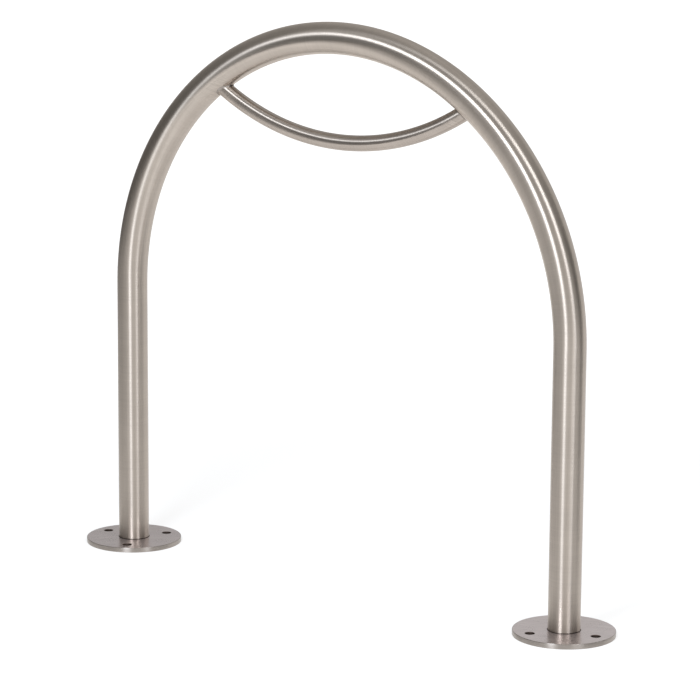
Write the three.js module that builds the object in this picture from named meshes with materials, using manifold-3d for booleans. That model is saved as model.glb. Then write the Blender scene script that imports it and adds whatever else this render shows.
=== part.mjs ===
// Hoop bike rack: a stainless tube bent to a half circle on two straight legs, each leg standing in
// a round floor flange, with a thinner crossbar that sags in an arc across the arch.
//
// Millimetres. +X runs from the left leg to the right, +Z is up and the hoop lies in the XZ plane.
// The origin is on the floor, midway between the legs. The left half is the right half turned about
// the Z axis.
import * as THREE from "three";
import { mergeVertices } from "three/addons/utils/BufferGeometryUtils.js";
import Module from "manifold-3d";

// Hoop tube
const hoopTubeDiameter = 50;
const hoopTubeWall = 3;
const hoopBendRadius = 435; // to the tube's centreline
const straightLegHeight = 440; // from the floor to the start of the bend
const hoopFootHeight = 3; // from the floor to the tube's end, inside the flange

// Crossbar
const crossbarDiameter = 25;
const crossbarWall = 2;
const crossbarBendRadius = 455; // to the tube's centreline
const crossbarDrop = 161.5; // from the hoop's crown to the crossbar's lowest point, on the centrelines

// Flanges
const flangeDiameter = 158;
const flangeThickness = 8;
const flangeTopBevel = 0.8;
const flangeFootBevel = 0.5;
const anchorCircleDiameter = 115;
const anchorHoleDiameter = 14;
const anchorHoleBevel = 0.6;
const anchorHoleCount = 3;

// Welds
const crossbarWeldLeg = 3; // how far the fillet reaches along each tube
const crossbarWeldHollow = 0.6; // how far the fillet's face is drawn in
const flangeWeldLeg = 3; // how far the ring reaches in under the tube's end
const flangeWeldHollow = 0.4;
const flangeWeldRecess = 0.4; // from the floor to the ring, which is ground back so the flange sits flat

// Fits between separate pieces
const jointGap = 0.3;
const cutOverrun = 2; // how far a cut runs past the faces that it opens

// Fineness of the round forms
const hoopTubeSides = 32;
const hoopBendSteps = 48;
const crossbarSides = 24;
const crossbarBendSteps = 26;
const flangeSides = 72;
const anchorHoleSides = 24;
const crossbarWeldStations = 40;
const weldFaceSteps = 4;
const saddleHalvings = 40;

// Sizes that follow from the ones above
const hoopTubeRadius = hoopTubeDiameter / 2;
const crossbarRadius = crossbarDiameter / 2;
const flangeRadius = flangeDiameter / 2;
const flangeBoreRadius = hoopTubeRadius + jointGap;
const crownHeight = straightLegHeight + hoopBendRadius;
const crossbarLowestHeight = crownHeight - crossbarDrop;

// The two bends, each an arc about a centre, with the skin that whatever meets the tube keeps to
const hoopBend = {
  centre: new THREE.Vector3(0, 0, straightLegHeight),
  radius: hoopBendRadius,
  skinRadius: hoopTubeRadius + jointGap,
};
const crossbarBend = {
  centre: new THREE.Vector3(0, 0, crossbarLowestHeight + crossbarBendRadius),
  radius: crossbarBendRadius,
  skinRadius: crossbarRadius + jointGap,
};
const crossbarEndTurn = turnWhereTubesMeet();

const tubeSteel = new THREE.MeshStandardMaterial({ color: 0xaba39c, roughness: 0.32, metalness: 1 });
const flangeSteel = new THREE.MeshStandardMaterial({ color: 0xada6a1, roughness: 0.28, metalness: 1 });
const weldSteel = new THREE.MeshStandardMaterial({ color: 0xa39c96, roughness: 0.42, metalness: 1 });

const wasm = await Module();
wasm.setup();

// Turns a closed three.js geometry into a solid that can be cut.
function solidOf(geometry) {
  const bare = geometry.clone();
  bare.deleteAttribute("normal");
  bare.deleteAttribute("uv");
  const merged = mergeVertices(bare);
  const mesh = new wasm.Mesh({
    numProp: 3,
    vertProperties: new Float32Array(merged.attributes.position.array),
    triVerts: new Uint32Array(merged.index.array),
  });
  return new wasm.Manifold(mesh);
}

// Makes a flat-shaded three.js geometry from flat lists of coordinates and of triangle corners.
function facetedGeometry(coordinates, corners) {
  const geometry = new THREE.BufferGeometry();
  geometry.setAttribute("position", new THREE.Float32BufferAttribute(coordinates, 3));
  geometry.setIndex(Array.from(corners));
  const faceted = geometry.toNonIndexed();
  faceted.computeVertexNormals();
  return faceted;
}

// Turns a cut solid back into a three.js geometry.
function geometryOf(solid) {
  const mesh = solid.getMesh();
  return facetedGeometry(mesh.vertProperties, mesh.triVerts);
}

// The corners of a regular polygon about the origin.
function polygon(radius, sides) {
  const corners = [];
  for (let i = 0; i < sides; i++) {
    const turn = (2 * Math.PI * i) / sides;
    corners.push(new THREE.Vector2(radius * Math.cos(turn), radius * Math.sin(turn)));
  }
  return corners;
}

// A tube's section: a disc with a bore.
function tubeSection(outerRadius, wall, sides) {
  const section = new THREE.Shape(polygon(outerRadius, sides));
  section.holes.push(new THREE.Path(polygon(outerRadius - wall, sides)));
  return section;
}

// A section swept along a centreline.
function sweep(section, centreline) {
  return new THREE.ExtrudeGeometry(section, {
    steps: centreline.steps,
    extrudePath: centreline,
    bevelEnabled: false,
  });
}

// A closed profile of [radius, height] corners, anticlockwise, turned about the Z axis.
function revolve(profile, sides) {
  const points = [...profile, profile[0]].map(([radius, height]) => new THREE.Vector2(radius, height));
  return new THREE.LatheGeometry(points, sides).rotateX(Math.PI / 2);
}

// The hoop's centreline: up the left leg, round the bend and down the right leg. Each leg is one
// step and the bend's steps are equal, so a section stands at both ends of the bend.
class HoopCentreline extends THREE.Curve {
  constructor(footHeight) {
    super();
    this.footHeight = footHeight;
    this.steps = 1 + hoopBendSteps + 1;
  }
  getPoint(share, target = new THREE.Vector3()) {
    const stepsUp = share * this.steps;
    const stepsDown = this.steps - stepsUp;
    const legLength = hoopBend.centre.z - this.footHeight;
    if (stepsUp < 1) return target.set(-hoopBend.radius, 0, this.footHeight + legLength * stepsUp);
    if (stepsDown < 1) return target.set(hoopBend.radius, 0, this.footHeight + legLength * stepsDown);
    const turn = this.turnAt(share);
    return target
      .set(-Math.cos(turn), 0, Math.sin(turn))
      .multiplyScalar(hoopBend.radius)
      .add(hoopBend.centre);
  }
  getTangent(share, target = new THREE.Vector3()) {
    const turn = this.turnAt(share);
    return target.set(Math.sin(turn), 0, Math.cos(turn));
  }
  getUtoTmapping(share) {
    return share;
  }
  turnAt(share) {
    const bendShare = (share * this.steps - 1) / hoopBendSteps;
    return Math.PI * THREE.MathUtils.clamp(bendShare, 0, 1);
  }
}

// The crossbar's centreline: an arc that sags between two places on the hoop's centreline.
class CrossbarCentreline extends THREE.Curve {
  constructor() {
    super();
    this.steps = crossbarBendSteps;
  }
  getPoint(share, target = new THREE.Vector3()) {
    const turn = this.turnAt(share);
    return target
      .set(Math.sin(turn), 0, -Math.cos(turn))
      .multiplyScalar(crossbarBend.radius)
      .add(crossbarBend.centre);
  }
  getTangent(share, target = new THREE.Vector3()) {
    const turn = this.turnAt(share);
    return target.set(Math.cos(turn), 0, Math.sin(turn));
  }
  getUtoTmapping(share) {
    return share;
  }
  turnAt(share) {
    return crossbarEndTurn * (2 * share - 1);
  }
}

// How far the crossbar turns from its lowest point to where its centreline meets the hoop's.
function turnWhereTubesMeet() {
  const centreDistance = crossbarBend.centre.z - hoopBend.centre.z;
  const reach = centreDistance ** 2 + crossbarBend.radius ** 2 - hoopBend.radius ** 2;
  return Math.acos(reach / (2 * centreDistance * crossbarBend.radius));
}

// The hoop: one open-ended tube that stands in both flanges.
function hoopTube() {
  const section = tubeSection(hoopTubeRadius, hoopTubeWall, hoopTubeSides);
  return sweep(section, new HoopCentreline(hoopFootHeight));
}

// The crossbar: a tube whose ends are coped to the hoop's inner side.
function crossbar() {
  const section = tubeSection(crossbarRadius, crossbarWall, crossbarSides);
  const tube = solidOf(sweep(section, new CrossbarCentreline()));
  const cope = new THREE.Shape(polygon(hoopBend.skinRadius, hoopTubeSides));
  return geometryOf(tube.subtract(solidOf(sweep(cope, new HoopCentreline(0)))));
}

// A floor flange: a round plate, bored for the leg and drilled for its anchors, with its edges
// broken. The first anchor hole lies on +X.
function flange() {
  const plate = revolve(
    [
      [flangeBoreRadius, 0],
      [flangeRadius - flangeFootBevel, 0],
      [flangeRadius, flangeFootBevel],
      [flangeRadius, flangeThickness - flangeTopBevel],
      [flangeRadius - flangeTopBevel, flangeThickness],
      [flangeBoreRadius, flangeThickness],
    ],
    flangeSides,
  );
  let solid = solidOf(plate);
  for (const place of polygon(anchorCircleDiameter / 2, anchorHoleCount)) {
    solid = solid.subtract(solidOf(anchorHole().translate(place.x, place.y, 0)));
  }
  return geometryOf(solid);
}

// What drilling takes away for one anchor: a hole whose top edge is broken.
function anchorHole() {
  const radius = anchorHoleDiameter / 2;
  return revolve(
    [
      [0, -cutOverrun],
      [radius, -cutOverrun],
      [radius, flangeThickness - anchorHoleBevel],
      [radius + anchorHoleBevel + cutOverrun, flangeThickness + cutOverrun],
      [0, flangeThickness + cutOverrun],
    ],
    anchorHoleSides,
  );
}

// The face of a fillet: points from one toe to the other, drawn in towards the root between them.
function filletFace(fromToe, toToe, root, hollow) {
  const middle = fromToe.clone().add(toToe).divideScalar(2);
  const inwards = root.clone().sub(middle).normalize();
  const points = [];
  for (let i = 0; i <= weldFaceSteps; i++) {
    const share = i / weldFaceSteps;
    const drawnIn = hollow * Math.sin(Math.PI * share);
    points.push(fromToe.clone().lerp(toToe, share).addScaledVector(inwards, drawnIn));
  }
  return points;
}

// The weld under a flange: a ring in the corner between the flange's bore and the tube's end.
function flangeWeld() {
  const root = new THREE.Vector2(flangeBoreRadius - jointGap, hoopFootHeight - jointGap);
  const tubeToe = new THREE.Vector2(root.x - flangeWeldLeg, root.y);
  const boreToe = new THREE.Vector2(root.x, flangeWeldRecess);
  const section = [root, ...filletFace(tubeToe, boreToe, root, flangeWeldHollow)];
  return revolve(section.map((point) => point.toArray()), hoopTubeSides);
}

// The point on a bend's centreline that lies nearest to a point.
function nearestCentre(bend, point) {
  return point.clone().sub(bend.centre).setY(0).setLength(bend.radius).add(bend.centre);
}

// The direction in which a bent tube's skin faces at a point.
function skinNormal(bend, point) {
  return point.clone().sub(nearestCentre(bend, point)).normalize();
}

// A point moved straight in or out to a bent tube's skin.
function ontoSkin(bend, point) {
  return nearestCentre(bend, point).addScaledVector(skinNormal(bend, point), bend.skinRadius);
}

// A point on the crossbar's skin: turnAlong from its lowest point, and turnRound from its underside.
function crossbarSkinPoint(turnAlong, turnRound) {
  const away = new THREE.Vector3(Math.sin(turnAlong), 0, -Math.cos(turnAlong));
  const centre = crossbarBend.centre.clone().addScaledVector(away, crossbarBend.radius);
  const offCentre = away.multiplyScalar(Math.cos(turnRound)).setY(Math.sin(turnRound));
  return centre.addScaledVector(offCentre, crossbarBend.skinRadius);
}

// Where a line along the crossbar's skin runs into the hoop's skin at the right end.
function saddlePoint(turnRound) {
  let turnClear = 0;
  let turnInside = crossbarEndTurn;
  for (let i = 0; i < saddleHalvings; i++) {
    const turnAlong = (turnClear + turnInside) / 2;
    const point = crossbarSkinPoint(turnAlong, turnRound);
    const isClear = point.distanceTo(nearestCentre(hoopBend, point)) > hoopBend.skinRadius;
    if (isClear) turnClear = turnAlong;
    else turnInside = turnAlong;
  }
  return crossbarSkinPoint(turnClear, turnRound);
}

// One section of the fillet in the corner between the crossbar and the hoop.
function crossbarWeldSection(turnRound) {
  const root = saddlePoint(turnRound);
  const offHoop = skinNormal(hoopBend, root);
  const offCrossbar = skinNormal(crossbarBend, root);
  const alongHoop = offCrossbar.clone().projectOnPlane(offHoop).setLength(crossbarWeldLeg);
  const alongCrossbar = offHoop.clone().projectOnPlane(offCrossbar).setLength(crossbarWeldLeg);
  const hoopToe = ontoSkin(hoopBend, root.clone().add(alongHoop));
  const crossbarToe = ontoSkin(crossbarBend, root.clone().add(alongCrossbar));
  return [root, ...filletFace(hoopToe, crossbarToe, root, crossbarWeldHollow)];
}

// The weld round the crossbar's right end: its sections follow the saddle and close on themselves.
function crossbarWeld() {
  const sections = [];
  for (let i = 0; i < crossbarWeldStations; i++) {
    sections.push(crossbarWeldSection((2 * Math.PI * i) / crossbarWeldStations));
  }
  return ringOf(sections);
}

// Joins closed sections into a closed ring.
function ringOf(sections) {
  const around = sections.length;
  const across = sections[0].length;
  const cornerAt = (i, j) => (i % around) * across + (j % across);
  const corners = [];
  for (let i = 0; i < around; i++) {
    for (let j = 0; j < across; j++) {
      corners.push(cornerAt(i, j), cornerAt(i + 1, j + 1), cornerAt(i + 1, j));
      corners.push(cornerAt(i, j), cornerAt(i, j + 1), cornerAt(i + 1, j + 1));
    }
  }
  const coordinates = sections.flat().flatMap((point) => point.toArray());
  return facetedGeometry(coordinates, corners);
}

// A named piece of the rack.
function piece(name, geometry, material) {
  const mesh = new THREE.Mesh(geometry, material);
  mesh.name = name;
  return mesh;
}

// One side of the rack, built on +X: a flange with its weld, and the weld at the crossbar's end.
function rackSide(side) {
  const foot = new THREE.Group();
  foot.position.x = hoopBendRadius;
  foot.add(piece(`${side}_flange`, flange(), flangeSteel));
  foot.add(piece(`${side}_flange_weld`, flangeWeld(), weldSteel));
  const group = new THREE.Group();
  group.add(foot);
  group.add(piece(`${side}_crossbar_weld`, crossbarWeld(), weldSteel));
  return group;
}

const rack = new THREE.Group();
rack.add(piece("hoop_tube", hoopTube(), tubeSteel));
rack.add(piece("crossbar", crossbar(), tubeSteel));
rack.add(rackSide("right"));
const leftSide = rackSide("left");
leftSide.rotation.z = Math.PI;
rack.add(leftSide);

export default rack;
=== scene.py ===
import logging
import math
from collections.abc import Callable, Iterable, Mapping, Sequence
from dataclasses import dataclass
from enum import Enum, IntEnum

import bmesh
import bpy
from bmesh.types import BMEdge, BMesh, BMFace, BMVert
from bpy.types import Material, Object
from mathutils import Matrix, Vector


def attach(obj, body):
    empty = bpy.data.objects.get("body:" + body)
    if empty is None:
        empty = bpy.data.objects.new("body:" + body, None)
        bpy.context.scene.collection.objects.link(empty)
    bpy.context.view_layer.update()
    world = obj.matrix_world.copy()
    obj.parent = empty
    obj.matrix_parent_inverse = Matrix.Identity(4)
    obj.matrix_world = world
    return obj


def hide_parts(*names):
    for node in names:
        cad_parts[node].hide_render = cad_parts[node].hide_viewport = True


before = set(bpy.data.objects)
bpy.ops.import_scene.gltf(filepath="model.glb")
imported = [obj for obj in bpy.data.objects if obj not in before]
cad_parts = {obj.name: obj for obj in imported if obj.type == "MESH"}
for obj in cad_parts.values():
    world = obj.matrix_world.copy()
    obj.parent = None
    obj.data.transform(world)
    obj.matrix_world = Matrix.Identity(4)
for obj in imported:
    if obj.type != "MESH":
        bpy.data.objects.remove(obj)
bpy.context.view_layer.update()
LOG = logging.getLogger("hoop_rack")

Colour = tuple[float, float, float]
WHITE: Colour = (1.0, 1.0, 1.0)
CARD_WHITE: Colour = (1.0, 1.0, 0.99)
UNROLLED = "unrolled"
MIDDLE = 0.5
FINE_DETAIL = 3.0
COARSE_DETAIL = 1.0
HALF_TURN = math.pi
FULL_TURN = 2 * math.pi

# Lengths are in metres.
TUBE_DIAMETER = 0.050
LEG_REACH = 0.435
PLATE_THICKNESS = 0.008
BORE_GAP = 0.0003
TUBE_CREASE_DEG = 40.0
GRAIN_ASIDE = 100.0
GRAIN_STRETCH = 1000.0
SLACK = 1e-5  # smaller differences are rounding


def grey(level: float) -> Colour:
    """The grey of a level."""
    return (level, level, level)


class Side(Enum):
    """Which end of the rack a piece belongs to, as its sign along X."""

    LEFT = -1
    RIGHT = 1


class Value:
    """An output socket of a shader graph. Arithmetic on it adds Math nodes."""

    def __init__(self, graph: "Graph", socket: bpy.types.NodeSocket) -> None:
        """Wraps a socket of a graph."""
        self.graph = graph
        self.socket = socket

    def _math(self, operation: str, first: "Value | float", second: "Value | float") -> "Value":
        """The result of a Math node with two numbers."""
        return self.graph.node("ShaderNodeMath", {"operation": operation}, {0: first, 1: second})

    def __add__(self, other: "Value | float") -> "Value":
        """Sum."""
        return self._math("ADD", self, other)

    def __radd__(self, other: float) -> "Value":
        """Sum, with the number first."""
        return self._math("ADD", other, self)

    def __sub__(self, other: "Value | float") -> "Value":
        """Difference."""
        return self._math("SUBTRACT", self, other)

    def __rsub__(self, other: float) -> "Value":
        """Difference, with the number first."""
        return self._math("SUBTRACT", other, self)

    def __mul__(self, other: "Value | float") -> "Value":
        """Product."""
        return self._math("MULTIPLY", self, other)

    def __rmul__(self, other: float) -> "Value":
        """Product, with the number first."""
        return self._math("MULTIPLY", other, self)

    def swing(self, size: float) -> "Value":
        """How far it is from the middle between 0 and 1, times a size."""
        return (self - MIDDLE) * size


class Graph:
    """The node graph of one material or world."""

    def __init__(self, tree: bpy.types.NodeTree) -> None:
        """Empties a node tree and takes it over."""
        self.tree = tree
        self.tree.nodes.clear()

    @staticmethod
    def _socket(sockets: Sequence[bpy.types.NodeSocket], key: int | str) -> bpy.types.NodeSocket:
        """The socket with an index, or the one in use that has a name."""
        named = (socket for socket in sockets if socket.name == key and socket.enabled)
        return sockets[key] if isinstance(key, int) else next(named)

    def node(
        self,
        kind: str,
        settings: Mapping[str, object] | None = None,
        inputs: Mapping[int | str, "Value | float | Sequence[float]"] | None = None,
        output: int | str = 0,
    ) -> Value:
        """Adds a node of any type.

        Args:
            kind: The node's type.
            settings: What is set on the node first.
            inputs: Values or links of its sockets, by index or name.
            output: The output to give back, by index or name.

        Returns:
            That output.
        """
        made = self.tree.nodes.new(kind)
        for name, setting in (settings or {}).items():
            setattr(made, name, setting)
        for key, given in (inputs or {}).items():
            socket = self._socket(made.inputs, key)
            if isinstance(given, Value):
                self.tree.links.new(given.socket, socket)
            elif socket.type == "RGBA":
                socket.default_value = (*given, 1.0)
            else:
                socket.default_value = given
        return Value(self, self._socket(made.outputs, output))

    def place(self) -> Value:
        """The place on the object, in metres."""
        return self.node("ShaderNodeTexCoord", None, None, "Object")

    def along(self, axis: str, place: Value) -> Value:
        """A place's coordinate along the axis of that name."""
        return self.node("ShaderNodeSeparateXYZ", None, {"Vector": place}, axis)

    def turned(self, place: Value, turns_deg: Sequence[float]) -> Value:
        """A place measured on axes that are turned by degrees about X, Y and Z."""
        inputs = {"Vector": place, "Rotation": [math.radians(turn) for turn in turns_deg]}
        return self.node("ShaderNodeMapping", {"vector_type": "TEXTURE"}, inputs)

    def blend(self, share: Value, first: Value | Colour, second: Value | Colour) -> Value:
        """Mixes two colours by how much of the second one shows."""
        inputs = {"Factor": share, "A": first, "B": second}
        return self.node("ShaderNodeMix", {"data_type": "RGBA"}, inputs, "Result")

    def grain(self, place: Value, lengths: Sequence[float], detail: float = 2.0) -> Value:
        """Smooth random marks from 0 to 1.

        Args:
            place: Coordinates in metres.
            lengths: The marks' length along each axis, in metres.
            detail: How many finer octaves are added.

        Returns:
            The marks.
        """
        scale = tuple(1.0 / length for length in lengths)
        cells = self.node("ShaderNodeVectorMath", {"operation": "MULTIPLY"}, {0: place, 1: scale})
        return self.node("ShaderNodeTexNoise", None, {"Vector": cells, "Scale": 1.0, "Detail": detail})

    def between(self, number: Value, low: float, high: float) -> Value:
        """Rises smoothly from 0 to 1 as a number goes from low to high."""
        inputs = {"Value": number, "From Min": low, "From Max": high}
        return self.node("ShaderNodeMapRange", {"interpolation_type": "SMOOTHSTEP"}, inputs)

    def near(self, place: Value, point: Vector, full: float, end: float) -> Value:
        """1 round a point, falling to 0 further out.

        Args:
            place: Coordinates in metres.
            point: The point.
            full: The radius inside which it is 1.
            end: The radius beyond which it is 0.

        Returns:
            The share.
        """
        ends = {0: place, 1: tuple(point)}
        gap = self.node("ShaderNodeVectorMath", {"operation": "DISTANCE"}, ends, "Value")
        return 1.0 - self.between(gap, full, end)

    def bump(self, height: Value, rise: float) -> Value:
        """The normal of a height from 0 to 1, where 1 stands for a rise in metres."""
        return self.node("ShaderNodeBump", None, {"Strength": 1.0, "Distance": rise, "Height": height})

    def surface(self, shader: Value, kind: str = "ShaderNodeOutputMaterial") -> None:
        """Ends the graph with its shader, in an output node of a kind."""
        output = self.tree.nodes.new(kind)
        self.tree.links.new(shader.socket, output.inputs["Surface"])


def new_material(name: str, fill: Callable[[Graph], Value]) -> Material:
    """Makes a material from a function that fills its graph.

    Args:
        name: The material's name.
        fill: Takes the graph and gives back the shader.

    Returns:
        The material.
    """
    material = bpy.data.materials.new(name)
    material.use_nodes = True
    graph = Graph(material.node_tree)
    graph.surface(fill(graph))
    return material


@dataclass(frozen=True)
class BrushedTube:
    """Stainless tube brushed by a belt that runs round it, so that its grain lies across it.

    The grain draws every reflection out along the tube. finish_tube lays it out.
    """

    name: str = "brushed_tube"
    pale: Colour = (0.650, 0.573, 0.502)
    deep: Colour = (0.484, 0.425, 0.371)
    roughness: float = 0.37
    anisotropy: float = 1.0
    grain_turn: float = 0.25
    line_length: float = 0.045
    line_width: float = 0.0008
    line_share: float = 0.6
    band_length: float = 0.11
    band_width: float = 0.0042
    drawn_length: float = 0.35
    drawn_width: float = 0.0030
    cloud: float = 0.05
    band_share: float = 0.35
    cloud_share: float = 0.5
    drawn_share: float = 0.8
    line_depth: float = 0.000012
    sanded_full: float = 0.0135
    sanded_reach: float = 0.045
    sanded_turn_deg: float = 24.0
    sanded_lift: float = 0.25
    mark_length: float = 0.022
    mark_width: float = 0.0022
    mark_share: float = 3.0
    band_roughness: float = 0.015
    sanded_roughness: float = 0.05
    # Painted shade: a near-black band on the tube just above the plate's top, standing in for the contact
    # shadow where the tube enters the bore.
    root_shade: Colour = (0.17, 0.135, 0.115)
    root_shade_full: float = PLATE_THICKNESS + 0.0002
    root_shade_end: float = PLATE_THICKNESS + 0.0018

    def material(self, joints: tuple[Vector, Vector]) -> Material:
        """The finish of a tube that was sanded by hand round two joints, as a material."""
        return new_material(self.name, lambda graph: self._shader(graph, joints))

    def _shader(self, graph: Graph, joints: tuple[Vector, Vector]) -> Value:
        """Fills the material's graph.

        Args:
            graph: The graph.
            joints: The points round which the tube was sanded with its welds.

        Returns:
            The shader.
        """
        unrolled = graph.node("ShaderNodeAttribute", {"attribute_name": UNROLLED}, None, "Vector")
        place = graph.place()
        lines = graph.grain(unrolled, (self.line_length, self.line_length, self.line_width), FINE_DETAIL)
        bands = graph.grain(unrolled, (self.band_length, self.band_length, self.band_width))
        drawn = graph.grain(unrolled, (self.drawn_width, self.drawn_width, self.drawn_length))
        clouds = graph.grain(place, (self.cloud,) * 3)
        left, right = (graph.near(place, joint, self.sanded_full, self.sanded_reach) for joint in joints)
        sanded = left + right
        slanted = graph.turned(place, (0.0, self.sanded_turn_deg, 0.0))
        marks = graph.grain(slanted, (self.mark_length, self.mark_length, self.mark_width), FINE_DETAIL)
        tone = MIDDLE + lines.swing(self.line_share) + bands.swing(self.band_share)
        tone = tone + clouds.swing(self.cloud_share) + drawn.swing(self.drawn_share)
        tone = tone + sanded * (marks.swing(self.mark_share) + self.sanded_lift)
        # Painted shade: the colour turns dark just above the plate's top, where the tube meets the plate.
        shaded_root = 1.0 - graph.between(graph.along("Z", place), self.root_shade_full, self.root_shade_end)
        unshaded = graph.blend(tone, self.deep, self.pale)
        rough = self.roughness + bands.swing(self.band_roughness) + sanded * self.sanded_roughness
        return graph.node("ShaderNodeBsdfPrincipled", None, {
            "Base Color": graph.blend(shaded_root, unshaded, self.root_shade),
            "Metallic": 1.0,
            "Roughness": rough,
            "Anisotropic": self.anisotropy,
            "Anisotropic Rotation": self.grain_turn,
            "Normal": graph.bump(lines + sanded * marks, self.line_depth),
        })


@dataclass(frozen=True)
class SatinPlate:
    """Stainless plate with a fine straight grain."""

    name: str
    grain_turn_deg: float
    pale: Colour = (0.83, 0.735, 0.715)
    deep: Colour = (0.59, 0.522, 0.508)
    metal: float = 0.88
    roughness: float = 0.28
    line_length: float = 0.035
    line_width: float = 0.0007
    streak_length: float = 0.07
    streak_width: float = 0.004
    cloud: float = 0.03
    line_share: float = 0.6
    streak_share: float = 0.9
    cloud_share: float = 0.7
    line_roughness: float = 0.04
    cloud_roughness: float = 0.05
    line_depth: float = 0.000003

    def material(self) -> Material:
        """The finish as a material."""
        return new_material(self.name, self._shader)

    def _shader(self, graph: Graph) -> Value:
        """Fills the material's graph.

        Args:
            graph: The graph.

        Returns:
            The shader.
        """
        place = graph.place()
        turned = graph.turned(place, (0.0, 0.0, self.grain_turn_deg))
        lines = graph.grain(turned, (self.line_length, self.line_width, self.line_length), FINE_DETAIL)
        streaks = graph.grain(turned, (self.streak_length, self.streak_width, self.streak_length))
        clouds = graph.grain(place, (self.cloud,) * 3, FINE_DETAIL)
        tone = MIDDLE + lines.swing(self.line_share) + streaks.swing(self.streak_share)
        tone = tone + clouds.swing(self.cloud_share)
        rough = self.roughness + lines.swing(self.line_roughness) + clouds.swing(self.cloud_roughness)
        return graph.node("ShaderNodeBsdfPrincipled", None, {
            "Base Color": graph.blend(tone, self.deep, self.pale),
            "Metallic": self.metal,
            "Roughness": rough,
            "Normal": graph.bump(lines, self.line_depth),
        })


@dataclass(frozen=True)
class TurnedEdge:
    """The turned edge of a plate or hole, with its fine marks running round it."""

    name: str
    pale: Colour
    deep: Colour
    roughness: float = 0.36
    low_angle_tint: Colour = WHITE
    anisotropy: float = 0.9
    grain_turn: float = 0.25
    mark_height: float = 0.0006
    mark_length: float = 0.02
    mark_depth: float = 0.00001
    mark_share: float = 1.2
    patch: float = 0.012
    patch_share: float = 0.7
    patch_roughness: float = 0.1

    def material(self) -> Material:
        """The finish as a material."""
        return new_material(self.name, self._shader)

    def _shader(self, graph: Graph) -> Value:
        """Fills the material's graph.

        Args:
            graph: The graph.

        Returns:
            The shader.
        """
        place = graph.place()
        marks = graph.grain(place, (self.mark_length, self.mark_length, self.mark_height), FINE_DETAIL)
        patches = graph.grain(place, (self.patch,) * 3)
        tone = MIDDLE + marks.swing(self.mark_share) + patches.swing(self.patch_share)
        return graph.node("ShaderNodeBsdfPrincipled", None, {
            "Base Color": graph.blend(tone, self.deep, self.pale),
            "Metallic": 1.0,
            "Specular Tint": self.low_angle_tint,
            "Roughness": self.roughness + patches.swing(self.patch_roughness),
            "Anisotropic": self.anisotropy,
            "Anisotropic Rotation": self.grain_turn,
            "Normal": graph.bump(marks, self.mark_depth),
        })


@dataclass(frozen=True)
class DressedWeld:
    """Stainless weld metal, ground and brushed smooth by hand, with shade painted dark into its corners
    if it has them.
    """

    name: str = "dressed_weld"
    pale: Colour = (0.46, 0.415, 0.375)
    deep: Colour = (0.28, 0.245, 0.22)
    shaded_corners: bool = True
    # Painted shade: near-black colour standing in for the shade in the creases where the bar meets the
    # hoop.
    corner: Colour = (0.085, 0.07, 0.06)
    corner_shade_full: float = 0.0025
    corner_shade_end: float = 0.0065
    low_angle_tint: Colour = (0.45, 0.41, 0.38)
    roughness: float = 0.40
    middle_tone: float = 0.55
    ripple: float = 0.0022
    ripple_share: float = 1.2
    ripple_roughness: float = 0.15
    ripple_height: float = 0.00012
    pit: float = 0.0009
    pit_full: float = 0.30
    pit_end: float = 0.42
    pit_share: float = 0.6
    pit_depth: float = 0.4

    def material(self) -> Material:
        """The finish as a material."""
        return new_material(self.name, self._shader)

    def _shader(self, graph: Graph) -> Value:
        """Fills the material's graph.

        Args:
            graph: The graph.

        Returns:
            The shader.
        """
        place = graph.place()
        ripples = graph.grain(place, (self.ripple,) * 3)
        pits = graph.grain(place, (self.pit,) * 3, COARSE_DETAIL)
        pitted = 1.0 - graph.between(pits, self.pit_full, self.pit_end)
        tone = self.middle_tone + ripples.swing(self.ripple_share) - pitted * self.pit_share
        colour = graph.blend(tone, self.deep, self.pale)
        # Painted shade: the weld turns dark near the hoop's plane, at the creases above and below the
        # bar.
        if self.shaded_corners:
            offset = graph.node("ShaderNodeMath", {"operation": "ABSOLUTE"}, {0: graph.along("Y", place)})
            inside = 1.0 - graph.between(offset, self.corner_shade_full, self.corner_shade_end)
            colour = graph.blend(inside, colour, self.corner)
        return graph.node("ShaderNodeBsdfPrincipled", None, {
            "Base Color": colour,
            "Metallic": 1.0,
            "Specular Tint": self.low_angle_tint,
            "Roughness": self.roughness + ripples.swing(self.ripple_roughness),
            "Normal": graph.bump(ripples - pitted * self.pit_depth, self.ripple_height),
        })


def new_object(name: str, data: bpy.types.ID) -> Object:
    """Makes an object and puts it in the scene.

    Args:
        name: The object's name.
        data: Its mesh, camera or lamp.

    Returns:
        The object.
    """
    made = bpy.data.objects.new(name, data)
    bpy.context.scene.collection.objects.link(made)
    return made


def mesh_object(bm: BMesh, name: str, materials: Sequence[Material]) -> Object:
    """Makes an object from a bmesh, which it frees.

    Args:
        bm: The mesh.
        name: The object's name.
        materials: Its materials, by face index.

    Returns:
        The object.
    """
    mesh = bpy.data.meshes.new(name)
    bm.to_mesh(mesh)
    bm.free()
    for material in materials:
        mesh.materials.append(material)
    return new_object(name, mesh)


def finish_mesh(bm: BMesh, name: str, materials: Sequence[Material], node: str) -> Object:
    """Turns a finished bmesh into a piece that stands for a CAD node.

    Args:
        bm: The mesh, in the row frame. It is freed.
        name: The piece's name.
        materials: Its materials, by face index.
        node: The CAD node that it stands for.

    Returns:
        The piece.
    """
    bmesh.ops.recalc_face_normals(bm, faces=bm.faces[:])
    for face in bm.faces:
        face.smooth = True
    piece = mesh_object(bm, name, materials)
    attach(piece, "root")
    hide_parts(node)
    LOG.info("%s: %d faces, stands for %s", name, len(piece.data.polygons), node)
    return piece


def edges_among(vertices: Iterable[BMVert]) -> list[BMEdge]:
    """The edges whose two ends are both among some vertices.

    Args:
        vertices: The vertices.

    Returns:
        The edges.
    """
    chosen = set(vertices)
    found = {edge for vertex in chosen for edge in vertex.link_edges}
    return [edge for edge in found if chosen.issuperset(edge.verts)]


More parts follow.
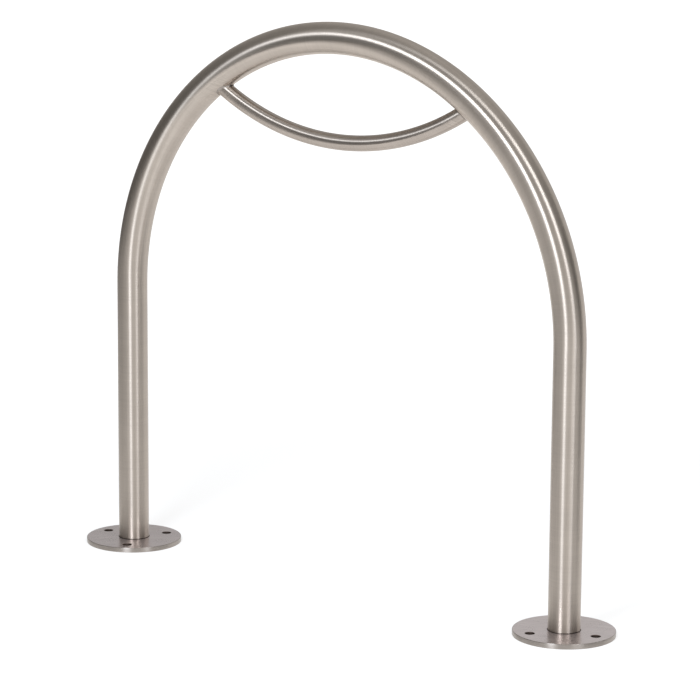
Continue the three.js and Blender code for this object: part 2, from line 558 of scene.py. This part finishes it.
def sharpen(bm: BMesh, angle_deg: float) -> None:
    """Marks the edges sharp at which two faces meet at more than an angle."""
    for edge in bm.edges:
        edge.smooth = len(edge.link_faces) == 2 and edge.calc_face_angle(0.0) < math.radians(angle_deg)


@dataclass(frozen=True)
class Bend:
    """A circular bend of a tube's centreline about an axis along Y."""

    centre_z: float
    radius: float

    @property
    def centre(self) -> Vector:
        """The centre of the bend."""
        return Vector((0.0, 0.0, self.centre_z))

    def outward(self, point: Vector) -> Vector:
        """The direction from the bend's axis to a point, square to the axis."""
        return Vector((point.x, 0.0, point.z - self.centre_z)).normalized()

    def nearest(self, point: Vector) -> Vector:
        """The point of the centreline that is nearest to a point."""
        return self.centre + self.radius * self.outward(point)

    def turned(self, point: Vector, angle: float) -> Vector:
        """A point turned about the bend's axis by an angle in radians."""
        return self.centre + Matrix.Rotation(angle, 3, "Y") @ (point - self.centre)


@dataclass(frozen=True)
class Stock:
    """Round tube as it is bought."""

    diameter: float
    wall: float
    sides: int

    @property
    def radius(self) -> float:
        """The outer radius."""
        return self.diameter / 2

    def section(self, bm: BMesh, place: Matrix) -> list[BMFace]:
        """Starts a tube with its ring-shaped end.

        Args:
            bm: The mesh to add to.
            place: Where the end lies, with the tube along its Z.

        Returns:
            The ring's faces.
        """
        loops = [
            bmesh.ops.create_circle(bm, segments=self.sides, radius=radius, matrix=place)["verts"]
            for radius in (self.radius, self.radius - self.wall)
        ]
        edges = [edge for loop in loops for edge in edges_among(loop)]
        return bmesh.ops.bridge_loops(bm, edges=edges)["faces"]


def pull(bm: BMesh, faces: Sequence[BMFace], move: Vector) -> list[BMFace]:
    """Draws a tube's end out straight.

    Args:
        bm: The mesh.
        faces: The end's faces.
        move: How far and which way.

    Returns:
        The new end's faces.
    """
    made = bmesh.ops.extrude_face_region(bm, geom=list(faces))["geom"]
    vertices = [item for item in made if isinstance(item, BMVert)]
    bmesh.ops.translate(bm, verts=vertices, vec=move)
    return [item for item in made if isinstance(item, BMFace)]


def roll(bm: BMesh, faces: Sequence[BMFace], bend: Bend, angle: float, steps: int) -> list[BMFace]:
    """Draws a tube's end out round a bend.

    Args:
        bm: The mesh.
        faces: The end's faces.
        bend: The bend.
        angle: How far it turns about +Y, in radians.
        steps: In how many steps.

    Returns:
        The new end's faces.
    """
    geometry = {item for face in faces for item in (face, *face.edges, *face.verts)}
    made = bmesh.ops.spin(
        bm, geom=list(geometry), cent=bend.centre, axis=(0, 1, 0), dvec=(0, 0, 0),
        angle=angle, steps=steps, use_merge=False, use_duplicate=False,
    )["geom_last"]
    return [item for item in made if isinstance(item, BMFace)]


def finish_tube(
    bm: BMesh,
    describe: Callable[[Vector], tuple[Vector, Vector, float]],
    material: Material,
    node: str,
) -> Object:
    """Turns a tube that bends in the XZ plane into a piece, with its brush marks laid out.

    Every vertex gets its place on the straightened tube, in metres. The mesh's texture space is
    moved and stretched so that tangents, and with them the grain, run round the tube.

    Args:
        bm: The mesh, in the row frame. It is freed.
        describe: Gives a point's nearest centreline point, outward direction and length along.
        material: The tube's finish.
        node: The CAD node that it stands for.

    Returns:
        The piece.
    """
    layer = bm.verts.layers.float_vector.new(UNROLLED)
    for vertex in bm.verts:
        centre, outward, along = describe(vertex.co)
        offset = vertex.co - centre
        vertex[layer] = Vector((offset.dot(outward), offset.y, along))
    sharpen(bm, TUBE_CREASE_DEG)
    piece = finish_mesh(bm, f"{node}_brushed", [material], node)
    piece.data.use_auto_texspace = False
    piece.data.texspace_location = (-GRAIN_ASIDE, 0.0, 0.0)
    piece.data.texspace_size = (1.0, GRAIN_STRETCH, 1.0)
    return piece


@dataclass(frozen=True)
class Hoop:
    """One length of tube: a half circle on two straight legs."""

    stock: Stock = Stock(diameter=TUBE_DIAMETER, wall=0.003, sides=96)
    bend: Bend = Bend(centre_z=0.440, radius=LEG_REACH)
    foot_height: float = 0.003
    bend_steps: int = 144

    def nearest(self, point: Vector) -> Vector:
        """The point of the hoop's centreline that is nearest to a point.

        Args:
            point: The point.

        Returns:
            The point of the centreline.
        """
        if point.z >= self.bend.centre_z:
            return self.bend.nearest(point)
        return Vector((math.copysign(self.bend.radius, point.x), 0.0, point.z))

    def clearance(self, point: Vector) -> float:
        """How far a point is outside the hoop's skin."""
        return (point - self.nearest(point)).length - self.stock.radius

    def onto_skin(self, point: Vector) -> Vector:
        """A point moved straight onto the hoop's skin."""
        centre = self.nearest(point)
        return centre + (point - centre).normalized() * self.stock.radius

    def describe(self, point: Vector) -> tuple[Vector, Vector, float]:
        """Places a point on the straightened tube.

        Args:
            point: The point.

        Returns:
            Its nearest centreline point, the outward direction and the length along the tube from
            the left foot.
        """
        bend = self.bend
        centre = self.nearest(point)
        if point.z >= bend.centre_z:
            turn = math.atan2(point.z - bend.centre_z, -point.x)
            return centre, bend.outward(centre), bend.centre_z + bend.radius * turn
        outward = Vector((math.copysign(1.0, point.x), 0.0, 0.0))
        end = 2 * bend.centre_z + bend.radius * HALF_TURN
        return centre, outward, point.z if point.x < 0 else end - point.z

    def build(self, material: Material) -> Object:
        """Builds and dresses the hoop.

        Args:
            material: The tube's finish.

        Returns:
            The piece.
        """
        bm = bmesh.new()
        foot = Matrix.Translation((-self.bend.radius, 0.0, self.foot_height))
        leg = Vector((0.0, 0.0, self.bend.centre_z - self.foot_height))
        end = self.stock.section(bm, foot)
        end = pull(bm, end, leg)
        end = roll(bm, end, self.bend, HALF_TURN, self.bend_steps)
        pull(bm, end, -leg)
        return finish_tube(bm, self.describe, material, "hoop_tube")


@dataclass(frozen=True)
class Crossbar:
    """A thinner tube that sags across the arch, with both ends coped to the hoop."""

    stock: Stock = Stock(diameter=0.025, wall=0.002, sides=64)
    bend: Bend = Bend(centre_z=1.1685, radius=0.455)
    end_turn: float = 0.60
    bend_steps: int = 96
    bite: float = 0.0005
    halvings: int = 24
    search_share: float = 1.06

    def skin_point(self, around: float, turn: float) -> Vector:
        """A point on the bar's skin.

        Args:
            around: The angle round the bar from its lowest line, in radians.
            turn: The angle along the bar from its lowest point, in radians, positive to the right.

        Returns:
            The point.
        """
        reach = self.stock.radius
        flat = Vector((0.0, reach * math.sin(around), -self.bend.radius - reach * math.cos(around)))
        return self.bend.turned(self.bend.centre + flat, -turn)

    def meeting_turn(self, hoop: Hoop, place: Callable[[float], Vector], clearance: float) -> float:
        """Where a line along the bar comes within a distance of the hoop's skin, to the right.

        Args:
            hoop: The hoop.
            place: Gives the line's point at an angle along the bar.
            clearance: The distance from the hoop's skin.

        Returns:
            The angle along the bar, in radians.
        """
        near, far = self.end_turn / 2, self.end_turn * self.search_share
        for _ in range(self.halvings):
            middle = (near + far) / 2
            if hoop.clearance(place(middle)) > clearance:
                near = middle
            else:
                far = middle
        return near

    def turn_of(self, point: Vector) -> float:
        """The angle along the bar from its lowest point to a point, in radians."""
        outward = self.bend.outward(point)
        return math.atan2(outward.x, -outward.z)

    def describe(self, point: Vector) -> tuple[Vector, Vector, float]:
        """Nearest centreline point, outward direction and length along the bar from its lowest point."""
        return self.bend.nearest(point), self.bend.outward(point), self.bend.radius * self.turn_of(point)

    def _cope(self, bm: BMesh, hoop: Hoop, side: Side) -> None:
        """Slides the vertices of a square end along the bar until they meet the hoop's skin.

        Args:
            bm: The bar.
            hoop: The hoop.
            side: Which end it is.
        """
        half_step = self.end_turn / self.bend_steps
        for vertex in bm.verts:
            start = vertex.co.copy()
            own_turn = self.turn_of(start)
            if abs(own_turn - side.value * self.end_turn) > half_step:
                continue
            turn = self.meeting_turn(
                hoop, lambda angle: self.bend.turned(start, own_turn - side.value * angle), -self.bite
            )
            vertex.co = self.bend.turned(start, own_turn - side.value * turn)

    def build(self, hoop: Hoop, material: Material) -> Object:
        """Builds and dresses the crossbar.

        Args:
            hoop: The hoop that it is welded into.
            material: The tube's finish.

        Returns:
            The piece.
        """
        bm = bmesh.new()
        lowest = Matrix.Translation(self.bend.centre - Vector((0, 0, self.bend.radius)))
        along = lowest @ Matrix.Rotation(math.radians(90), 4, "Y")
        first = self.stock.section(bm, along)
        bmesh.ops.rotate(
            bm, verts=bm.verts[:], cent=self.bend.centre, matrix=Matrix.Rotation(self.end_turn, 3, "Y")
        )
        roll(bm, first, self.bend, -2 * self.end_turn, self.bend_steps)
        for side in Side:
            self._cope(bm, hoop, side)
        return finish_tube(bm, self.describe, material, "crossbar")


@dataclass(frozen=True)
class CrossbarWeld:
    """The fillet round one coped end of the crossbar, dressed to a small hollow."""

    side: Side
    leg: float = 0.0022
    hollow: float = 0.30
    stations: int = 128
    face_steps: int = 6
    root_depth: float = 0.0004
    unevenness: float = 0.10
    waves: tuple[tuple[float, int, float], ...] = ((1.0, 3, 0.7), (0.6, 7, 2.1), (0.4, 13, 0.0))
    crease_deg: float = 50.0

    def _section(self, hoop: Hoop, bar: Crossbar, around: float) -> list[Vector]:
        """The closed section of the fillet at one station, from the bar's toe to the hoop's.

        Args:
            hoop: The hoop.
            bar: The crossbar.
            around: The angle round the bar, in radians.

        Returns:
            The section's points, with the buried root last.
        """
        wave = sum(height * math.sin(count * around + start) for height, count, start in self.waves)
        leg = self.leg * (1 + self.unevenness * wave)
        turn = bar.meeting_turn(hoop, lambda angle: bar.skin_point(around, angle), 0.0)
        corner = bar.skin_point(around, turn)
        bar_toe = bar.skin_point(around, turn - leg / bar.bend.radius)
        outward = (corner - bar.bend.nearest(corner)).normalized()
        normal = (corner - hoop.nearest(corner)).normalized()
        away = (outward - outward.dot(normal) * normal).normalized()
        hoop_toe = hoop.onto_skin(corner + leg * away)
        points = []
        for step in range(self.face_steps + 1):
            share = step / self.face_steps
            straight = bar_toe.lerp(hoop_toe, share)
            sink = self.hollow * 4 * share * (1 - share)
            points.append(straight.lerp(corner, sink))
        points.append(corner - self.root_depth * (outward + normal))
        return points

    def build(self, hoop: Hoop, bar: Crossbar, material: Material) -> Object:
        """Builds and dresses the weld.

        Args:
            hoop: The hoop.
            bar: The crossbar.
            material: The weld's finish.

        Returns:
            The piece.
        """
        bm = bmesh.new()
        angles = [FULL_TURN * index / self.stations for index in range(self.stations)]
        sections = [self._section(hoop, bar, angle) for angle in angles]
        loops = []
        for rank in range(self.face_steps + 2):
            loop = bmesh.ops.create_circle(bm, segments=self.stations, radius=1.0)["verts"]
            for vertex, section in zip(loop, sections):
                vertex.co = section[rank]
            loops.append(edges_among(loop))
        for first, second in zip(loops, loops[1:] + loops[:1]):
            bmesh.ops.bridge_loops(bm, edges=first + second)
        if self.side is Side.LEFT:
            bmesh.ops.scale(bm, vec=(-1, 1, 1), verts=bm.verts[:])
        sharpen(bm, self.crease_deg)
        side = self.side.name.lower()
        return finish_mesh(
            bm, f"{side}_crossbar_weld_dressed", [material], f"{side}_crossbar_weld"
        )


class PlateFace(IntEnum):
    """The kinds of face of a flange, each with its own finish."""

    FLAT = 0
    RIM = 1
    HOLE = 2
    BORE = 3


@dataclass(frozen=True)
class Flange:
    """A round floor plate, bored for the tube, with three anchor holes."""

    side: Side
    centre_x: float = LEG_REACH
    radius: float = 0.079
    thickness: float = PLATE_THICKNESS
    bore_radius: float = TUBE_DIAMETER / 2 + BORE_GAP
    hole_circle: float = 0.0575
    hole_radius: float = 0.007
    hole_count: int = 3
    top_round: float = 0.0008
    foot_round: float = 0.0005
    bore_round: float = 0.0007
    hole_round: float = 0.0009
    land: float = 0.0014
    round_steps: int = 4
    round_profile: float = 0.5
    rim_sides: int = 192
    bore_sides: int = 96
    hole_sides: int = 48
    flatness: float = 0.9999

    @property
    def middle(self) -> Vector:
        """The point on the floor under the leg."""
        return Vector((self.side.value * self.centre_x, 0.0, 0.0))

    def hole_places(self) -> list[Vector]:
        """Places the anchor holes.

        Returns:
            The points on the floor under them, the outer one first.
        """
        start = 0.0 if self.side is Side.RIGHT else HALF_TURN
        angles = [start + FULL_TURN * index / self.hole_count for index in range(self.hole_count)]
        return [
            self.middle + self.hole_circle * Vector((math.cos(angle), math.sin(angle), 0.0))
            for angle in angles
        ]

    def _wall(
        self, bm: BMesh, centre: Vector, radius: float, inward: float,
        top_round: float, sides: int, kind: PlateFace,
    ) -> tuple[list[BMEdge], list[BMEdge]]:
        """Spins a rounded wall through the plate's thickness.

        Args:
            bm: The mesh.
            centre: The wall's centre on the floor.
            radius: Its radius.
            inward: Which way the plate's metal lies from the wall: -1 inside its circle, 1 outside.
            top_round: The size of its top edge's round.
            sides: Steps round.
            kind: The kind of its faces.

        Returns:
            The loops of edges where the plate's top and foot start.
        """
        far = radius + inward * self.land
        profile = [(far, self.thickness), (radius, self.thickness), (radius, 0.0), (far, 0.0)]
        vertices = [bm.verts.new(centre + Vector((reach, 0.0, height))) for reach, height in profile]
        for pair in zip(vertices, vertices[1:]):
            bm.edges.new(pair)
        made = list(vertices)
        for vertex, size in ((vertices[1], top_round), (vertices[2], self.foot_round)):
            rounded = bmesh.ops.bevel(
                bm, geom=[vertex], offset=size, offset_type="OFFSET", segments=self.round_steps,
                profile=self.round_profile, affect="VERTICES", material=-1,
            )
            made += rounded["verts"]
        line = {vertex for vertex in made if vertex.is_valid}
        before = set(bm.faces)
        bmesh.ops.spin(
            bm, geom=[*line, *edges_among(line)], cent=centre, axis=(0, 0, 1), dvec=(0, 0, 0),
            angle=FULL_TURN, steps=sides, use_merge=True, use_duplicate=False,
        )
        for face in set(bm.faces) - before:
            face.material_index = kind
        top, foot = (
            edges_among(
                vertex for vertex in bm.verts
                if abs(vertex.co.z - height) < SLACK
                and abs((vertex.co - centre).to_2d().length - far) < SLACK
            )
            for height in (self.thickness, 0.0)
        )
        return top, foot

    def build(self, finishes: Sequence[Material]) -> Object:
        """Builds and dresses the flange.

        Args:
            finishes: The finish of each kind of face, in the order of PlateFace.

        Returns:
            The piece.
        """
        bm = bmesh.new()
        sizes = [
            (self.middle, self.radius, -1, self.top_round, self.rim_sides, PlateFace.RIM),
            (self.middle, self.bore_radius, 1, self.bore_round, self.bore_sides, PlateFace.BORE),
        ]
        for place in self.hole_places():
            sizes.append((place, self.hole_radius, 1, self.hole_round, self.hole_sides, PlateFace.HOLE))
        walls = [self._wall(bm, *size) for size in sizes]
        tops = [edge for top, _ in walls for edge in top]
        feet = [edge for _, foot in walls for edge in foot]
        for edges, up in ((tops, 1.0), (feet, -1.0)):
            bmesh.ops.triangle_fill(bm, edges=edges, use_beauty=True, normal=(0.0, 0.0, up))
        bmesh.ops.remove_doubles(bm, verts=bm.verts[:], dist=SLACK)
        bm.normal_update()
        for face in bm.faces:
            face.tag = abs(face.normal.z) > self.flatness
            if face.tag:
                face.material_index = PlateFace.FLAT
        for seam in bm.edges:
            seam.smooth = len({face.tag for face in seam.link_faces}) == 1
        side = self.side.name.lower()
        return finish_mesh(bm, f"{side}_flange_plate", finishes, f"{side}_flange")


@dataclass(frozen=True)
class PhotoCamera:
    """The camera at the photograph's place: angles in degrees, lengths in metres."""

    azimuth: float = 37.673
    elevation: float = 11.561
    roll: float = 0.410
    distance: float = 4.966817
    target: tuple[float, float, float] = (0.020944, 0.0, 0.386566)
    focal_pixels: float = 3160.0
    image_pixels: float = 700.0
    sensor: float = 36.0
    clip: tuple[float, float] = (0.1, 200.0)

    def build(self) -> Object:
        """Makes the camera and gives it to the scene.

        Returns:
            The camera.
        """
        roll = math.radians(self.roll)
        back = toward(self.azimuth, self.elevation)
        right = (-back).cross(Vector((0, 0, 1))).normalized()
        up = right.cross(-back)
        tilted = math.cos(roll) * right + math.sin(roll) * up
        upright = -math.sin(roll) * right + math.cos(roll) * up
        data = bpy.data.cameras.new("photo_camera")
        data.sensor_width = self.sensor
        data.lens = self.focal_pixels / self.image_pixels * self.sensor
        data.clip_start, data.clip_end = self.clip
        camera = new_object("photo_camera", data)
        turn = Matrix((tilted, upright, back)).transposed().to_4x4()
        camera.matrix_world = Matrix.Translation(Vector(self.target) + self.distance * back) @ turn
        bpy.context.scene.camera = camera
        return camera


def toward(azimuth: float, elevation: float) -> Vector:
    """The unit direction so many degrees round from -Y, towards +X, and above the floor."""
    turn, rise = math.radians(azimuth), math.radians(elevation)
    return Vector((math.sin(turn) * math.cos(rise), -math.cos(turn) * math.cos(rise), math.sin(rise)))


@dataclass(frozen=True)
class Softbox:
    """A round soft lamp that faces the rack."""

    name: str
    azimuth: float
    elevation: float
    distance: float
    radius: float
    brightness: float
    tint: Colour
    aim: tuple[float, float, float] = (0.0, 0.0, 0.5)

    def build(self) -> Object:
        """Makes the lamp.

        Returns:
            The lamp.
        """
        data = bpy.data.lights.new(self.name, "AREA")
        data.shape = "DISK"
        data.size = 2 * self.radius
        data.color = self.tint
        area = math.pi * self.radius**2
        data.energy = self.brightness * math.pi * area
        lamp = new_object(self.name, data)
        way = toward(self.azimuth, self.elevation)
        lamp.location = Vector(self.aim) + self.distance * way
        lamp.rotation_euler = way.to_track_quat("Z", "Y").to_euler()
        lamp.visible_camera = False
        return lamp


def stage_piece(bm: BMesh, name: str, material: Material) -> Object:
    """Makes a stage object from a bmesh, which it frees. No light is sampled from its glow.

    Args:
        bm: The mesh.
        name: The object's name.
        material: Its material.

    Returns:
        The object.
    """
    material.cycles.emission_sampling = "NONE"
    made = mesh_object(bm, name, [material])
    return made


def reflection_card(bm: BMesh, name: str, level: float, tint: Colour) -> Object:
    """Makes a card that glows evenly, shows in the metal only and shades nothing.

    Args:
        bm: The card's mesh.
        name: Its name.
        level: Its brightness, where 1 is white.
        tint: Its colour.

    Returns:
        The card.
    """
    card = stage_piece(bm, name, new_material(
        name, lambda graph: graph.node("ShaderNodeEmission", None, {"Color": tint, "Strength": level})
    ))
    card.visible_camera = False
    card.visible_diffuse = False
    card.visible_shadow = False
    return card


@dataclass(frozen=True)
class WallCard:
    """An upright curved card between two azimuths and two heights. It shows in the metal only."""

    name: str
    start: float
    end: float
    low: float
    high: float
    level: float
    tint: Colour = CARD_WHITE
    distance: float = 4.0
    step_deg: float = 6.0

    def build(self) -> Object:
        """Makes the card.

        Returns:
            The card.
        """
        bm = bmesh.new()
        first = self.distance * toward(self.start, 0.0)
        ends = [bm.verts.new((first.x, first.y, height)) for height in (self.low, self.high)]
        edge = bm.edges.new(ends)
        sweep = self.end - self.start
        bmesh.ops.spin(
            bm, geom=[*ends, edge], cent=(0, 0, 0), axis=(0, 0, 1), dvec=(0, 0, 0),
            angle=math.radians(sweep), steps=max(1, round(sweep / self.step_deg)),
            use_merge=False, use_duplicate=False,
        )
        return reflection_card(bm, self.name, self.level, self.tint)


@dataclass(frozen=True)
class LevelCard:
    """A level card above the set or beside it. It shows in the metal only."""

    name: str
    azimuth: float
    level: float
    tint: Colour = WHITE
    near: float = 0.0
    far: float = 4.5
    height: float = 5.5
    width: float = 9.0

    def build(self) -> Object:
        """Makes the card.

        Returns:
            The card.
        """
        bm = bmesh.new()
        turn = Matrix.Rotation(math.radians(self.azimuth), 4, "Z")
        shift = Matrix.Translation((0.0, -(self.near + self.far) / 2, self.height))
        stretch = Matrix.Diagonal((self.width, self.far - self.near, 1.0, 1.0))
        bmesh.ops.create_grid(bm, x_segments=1, y_segments=1, size=0.5, matrix=turn @ shift @ stretch)
        return reflection_card(bm, self.name, self.level, self.tint)


@dataclass(frozen=True)
class Studio:
    """Pale floor, white surroundings, two soft lamps and a few plain cards."""

    floor_colour: Colour = grey(0.50)
    floor_size: float = 60.0
    lift_near: float = 0.63
    lift_far: float = 0.86
    lift_start: float = 0.8
    lift_end: float = 2.6
    covered_full: float = 0.068
    covered_end: float = 0.078
    surroundings: float = 0.60
    lamps: tuple[Softbox, ...] = (
        Softbox(
            "key_softbox", azimuth=11.9, elevation=36.7, distance=3.054, radius=0.44, brightness=18.6,
            tint=(0.94, 1.03, 1.14),
        ),
        Softbox(
            "side_softbox", azimuth=73.7, elevation=38.7, distance=2.640, radius=0.40, brightness=7.8,
            tint=(0.96, 1.02, 1.09),
        ),
    )
    cards: tuple[WallCard | LevelCard, ...] = (
        WallCard("left_card", 255, 345, 0.0, 2.5, 0.12),
        WallCard("left_high_card", 255, 345, 2.5, 5.5, 0.30),
        WallCard("front_card", 345, 435, 0.0, 2.5, 0.38),
        WallCard("front_high_card", 345, 435, 2.5, 5.5, 0.66),
        WallCard("key_strip", 7, 19, 0.2, 2.0, 1.0, (0.93, 1.01, 1.12), 3.9),
        WallCard("side_strip", 68, 80, 0.2, 2.0, 1.2, (0.93, 1.01, 1.12), 3.9),
        WallCard("right_card", 75, 135, 0.0, 2.5, 0.05),
        WallCard("right_high_card", 75, 135, 2.5, 5.5, 0.40),
        WallCard("back_right_card", 135, 195, 0.0, 5.5, 0.58),
        WallCard("back_card", 195, 219, 0.0, 1.8, 0.57, WHITE),
        WallCard("back_high_card", 195, 219, 1.8, 5.5, 0.52),
        WallCard("back_left_card", 219, 255, 0.0, 1.8, 0.44, WHITE),
        WallCard("back_left_high_card", 219, 255, 1.8, 5.5, 0.38),
        LevelCard("left_ceiling_card", 307.6, 0.29),
        LevelCard("right_ceiling_card", 127.6, 0.75),
        LevelCard("left_floor_card", 300.0, 0.24, near=1.80, far=4.6, height=0.003),
        LevelCard("right_floor_card", 113.0, 0.12, near=1.5, far=4.6, height=0.003, width=0.8),
    )

    @staticmethod
    def _seen(graph: Graph) -> Value:
        """Tells the rays that see the background from those that only light the piece.

        Args:
            graph: The graph.

        Returns:
            1 for rays from the camera, off metal and through glass, and 0 for others.
        """
        camera, glossy, through = (
            graph.node("ShaderNodeLightPath", None, None, f"Is {kind} Ray")
            for kind in ("Camera", "Glossy", "Transmission")
        )
        rays = camera + glossy + through
        return graph.node("ShaderNodeMath", {"operation": "MINIMUM"}, {0: rays, 1: 1.0})

    def _floor_shader(self, graph: Graph) -> Value:
        """Fills the graph of a floor that is white where no shadow falls.

        Args:
            graph: The graph.

        Returns:
            The shader.
        """
        place = graph.place()
        reach = graph.node("ShaderNodeVectorMath", {"operation": "LENGTH"}, {0: place}, "Value")
        share = graph.between(reach, self.lift_start, self.lift_end)
        lift = graph.blend(share, grey(self.lift_near), grey(self.lift_far))
        paper = graph.node("ShaderNodeBsdfDiffuse", None, {"Color": self.floor_colour})
        glow = graph.node("ShaderNodeEmission", None, {"Color": lift})
        lit = graph.node("ShaderNodeAddShader", None, {0: paper, 1: glow})
        bare = 1.0
        for side in Side:
            middle = Flange(side).middle
            bare = bare - graph.near(place, middle, self.covered_full, self.covered_end)
        seen = self._seen(graph) * bare
        return graph.node("ShaderNodeMixShader", None, {0: seen, 1: paper, 2: lit})

    def _floor(self) -> Object:
        """Makes the floor.

        Returns:
            The floor.
        """
        bm = bmesh.new()
        bmesh.ops.create_grid(bm, x_segments=1, y_segments=1, size=self.floor_size / 2)
        return stage_piece(bm, "floor", new_material("pale_floor", self._floor_shader))

    def _world(self) -> None:
        """Makes the surroundings, which are white where they are seen."""
        world = bpy.data.worlds.new("studio")
        world.use_nodes = True
        bpy.context.scene.world = world
        graph = Graph(world.node_tree)
        dim, white = (
            graph.node("ShaderNodeBackground", None, {"Color": colour})
            for colour in (grey(self.surroundings), WHITE)
        )
        mixed = graph.node("ShaderNodeMixShader", None, {0: self._seen(graph), 1: dim, 2: white})
        graph.surface(mixed, "ShaderNodeOutputWorld")

    def build(self) -> None:
        """Makes the whole stage."""
        self._floor()
        self._world()
        for item in (*self.lamps, *self.cards):
            item.build()
        bpy.context.scene.view_settings.view_transform = "Standard"


@dataclass(frozen=True)
class HoopRack:
    """The whole rack."""

    hoop: Hoop = Hoop()
    bar: Crossbar = Crossbar()
    tube_finish: BrushedTube = BrushedTube()
    bar_finish: BrushedTube = BrushedTube(
        "brushed_bar", pale=(0.605, 0.530, 0.466), deep=(0.403, 0.352, 0.310), roughness=0.36,
        line_share=0.9,
    )
    weld_finish: DressedWeld = DressedWeld()
    foot_weld_finish: DressedWeld = DressedWeld("dressed_foot_weld", shaded_corners=False)
    rim_finish: TurnedEdge = TurnedEdge(
        "flange_rim", pale=(0.59, 0.53, 0.485), deep=(0.34, 0.30, 0.267), roughness=0.38, anisotropy=1.0
    )
    # Painted shade: the anchor holes' walls are coloured near-black, standing in for the shade inside
    # them.
    shaded_hole_finish: TurnedEdge = TurnedEdge(
        "drilled_hole_shaded", pale=(0.20, 0.15, 0.125), deep=(0.10, 0.075, 0.062), roughness=0.5,
        low_angle_tint=(0.25, 0.20, 0.17), anisotropy=0.3,
    )
    # Painted shade: the bore's rounded edge is coloured near-black, standing in for the shadowed gap
    # round the tube's foot.
    shaded_bore_finish: TurnedEdge = TurnedEdge(
        "bore_edge_shaded", pale=(0.17, 0.135, 0.115), deep=(0.11, 0.085, 0.072), roughness=0.5,
        low_angle_tint=(0.25, 0.21, 0.18), anisotropy=0.3,
    )
    left_grain_turn_deg: float = 52.0
    right_grain_turn_deg: float = 24.0

    def joints(self) -> tuple[Vector, Vector]:
        """Finds where the crossbar's centreline meets the hoop's skin.

        Returns:
            The points at the left and at the right.
        """
        bend = self.bar.bend
        lowest = bend.nearest(Vector((0.0, 0.0, 0.0)))
        turn = self.bar.meeting_turn(self.hoop, lambda angle: bend.turned(lowest, -angle), 0.0)
        return bend.turned(lowest, turn), bend.turned(lowest, -turn)

    def build(self) -> None:
        """Builds and dresses every piece."""
        tube, bar = (finish.material(self.joints()) for finish in (self.tube_finish, self.bar_finish))
        weld, foot_weld = (finish.material() for finish in (self.weld_finish, self.foot_weld_finish))
        walls = [finish.material() for finish in (self.rim_finish, self.shaded_hole_finish, self.shaded_bore_finish)]
        self.hoop.build(tube)
        self.bar.build(self.hoop, bar)
        grain_turns = {Side.LEFT: self.left_grain_turn_deg, Side.RIGHT: self.right_grain_turn_deg}
        for side, grain_turn in grain_turns.items():
            name = side.name.lower()
            plate = SatinPlate(f"{name}_satin_plate", grain_turn).material()
            Flange(side).build([plate, *walls])
            CrossbarWeld(side).build(self.hoop, self.bar, weld)
            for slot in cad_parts[f"{name}_flange_weld"].material_slots:
                slot.material = foot_weld
            LOG.info("%s_flange_weld: carried over with the weld's finish", name)


def main() -> None:
    """Builds the camera, the stage and the rack, in that order."""
    logging.basicConfig(level=logging.INFO, format="%(name)s: %(message)s")
    PhotoCamera().build()
    Studio().build()
    HoopRack().build()


if __name__ == "__main__":
    main()
